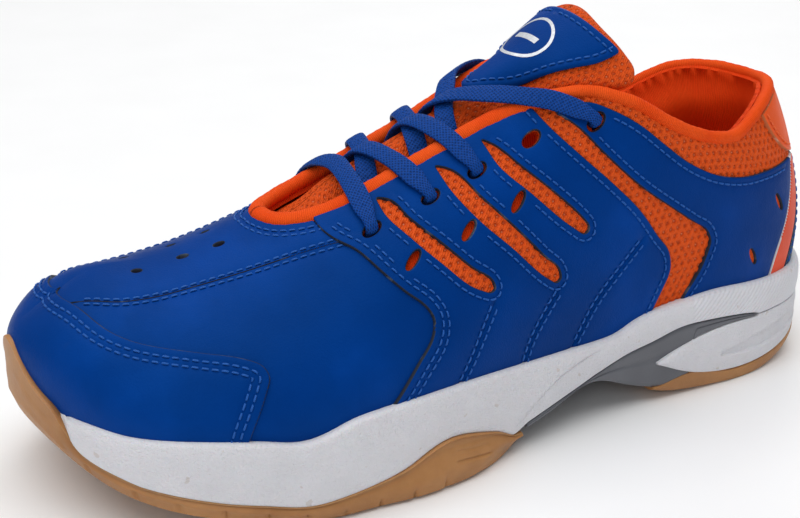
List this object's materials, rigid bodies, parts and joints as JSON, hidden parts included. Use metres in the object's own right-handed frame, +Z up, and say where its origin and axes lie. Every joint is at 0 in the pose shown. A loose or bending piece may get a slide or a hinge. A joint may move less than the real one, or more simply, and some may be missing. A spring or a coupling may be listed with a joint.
{
  "type": "court shoe",
  "caption": "Low-cut indoor court shoe for the left foot, with a padded collar, laced tongue, slotted side panels and a cupped rubber sole.",
  "frame": {"origin": "centre of the bounding box in plan, on the ground under the sole", "axes": "+X towards the outer (lateral) side, +Y towards the heel, so the toe points to -Y, and +Z up"},
  "size_m": [0.1073, 0.281, 0.127],
  "materials": {
    "foam_white": "fine matt skin of moulded EVA foam",
    "gum_rubber": "matt gum rubber, slightly translucent",
    "shank_plastic": "satin moulded TPU",
    "board": "non-woven board",
    "synthetic_blue": "satin polyurethane-coated synthetic leather",
    "synthetic_dark": "satin polyurethane-coated synthetic leather, darker",
    "synthetic_salmon": "satin polyurethane-coated synthetic leather",
    "mesh_orange": "coarse spacer mesh",
    "knit_orange": "brushed knit lining",
    "foam_padding": "open-cell foam",
    "lining_white": "plain woven cotton",
    "lace_blue": "flat braided polyester"
  },
  "bodies": {
    "shoe": {"outsole_forefoot": "gum_rubber", "outsole_heel": "gum_rubber", "heel_pod": "foam_white", "arch_shank": "shank_plastic", "midsole": "foam_white", "strobel_board": "board", "sockliner": "knit_orange", "vamp": "synthetic_blue", "toe_cap": "synthetic_blue", "side_vamp_lateral": "synthetic_blue", "side_vamp_medial": "synthetic_blue", "quarter_mesh_lateral": "mesh_orange", "quarter_mesh_medial": "mesh_orange", "saddle_lateral": "synthetic_blue", "saddle_medial": "synthetic_blue", "heel_panel_lateral": "synthetic_blue", "heel_panel_medial": "synthetic_blue", "heel_stripe_lateral": "synthetic_salmon", "heel_stripe_medial": "synthetic_salmon", "backstay": "synthetic_dark", "heel_tab": "knit_orange", "heel_counter": "board", "collar_padding": "foam_padding", "quarter_lining": "knit_orange", "vamp_lining": "lining_white", "tongue_body": "mesh_orange", "opening_binding": "knit_orange", "lace": "lace_blue"},
    "tongue_flap": {"tongue_top": "mesh_orange", "tongue_label": "synthetic_blue"}
  },
  "joints": [
    {"name": "tongue_lean", "type": "hinge", "parent": "shoe", "child": "tongue_flap", "pos_m": [-0.0012, 0.0083, 0.093], "axis": [1, 0, 0], "range_deg": [-12, 7], "stiffness_Nm_per_rad": 0.5}
  ]
}
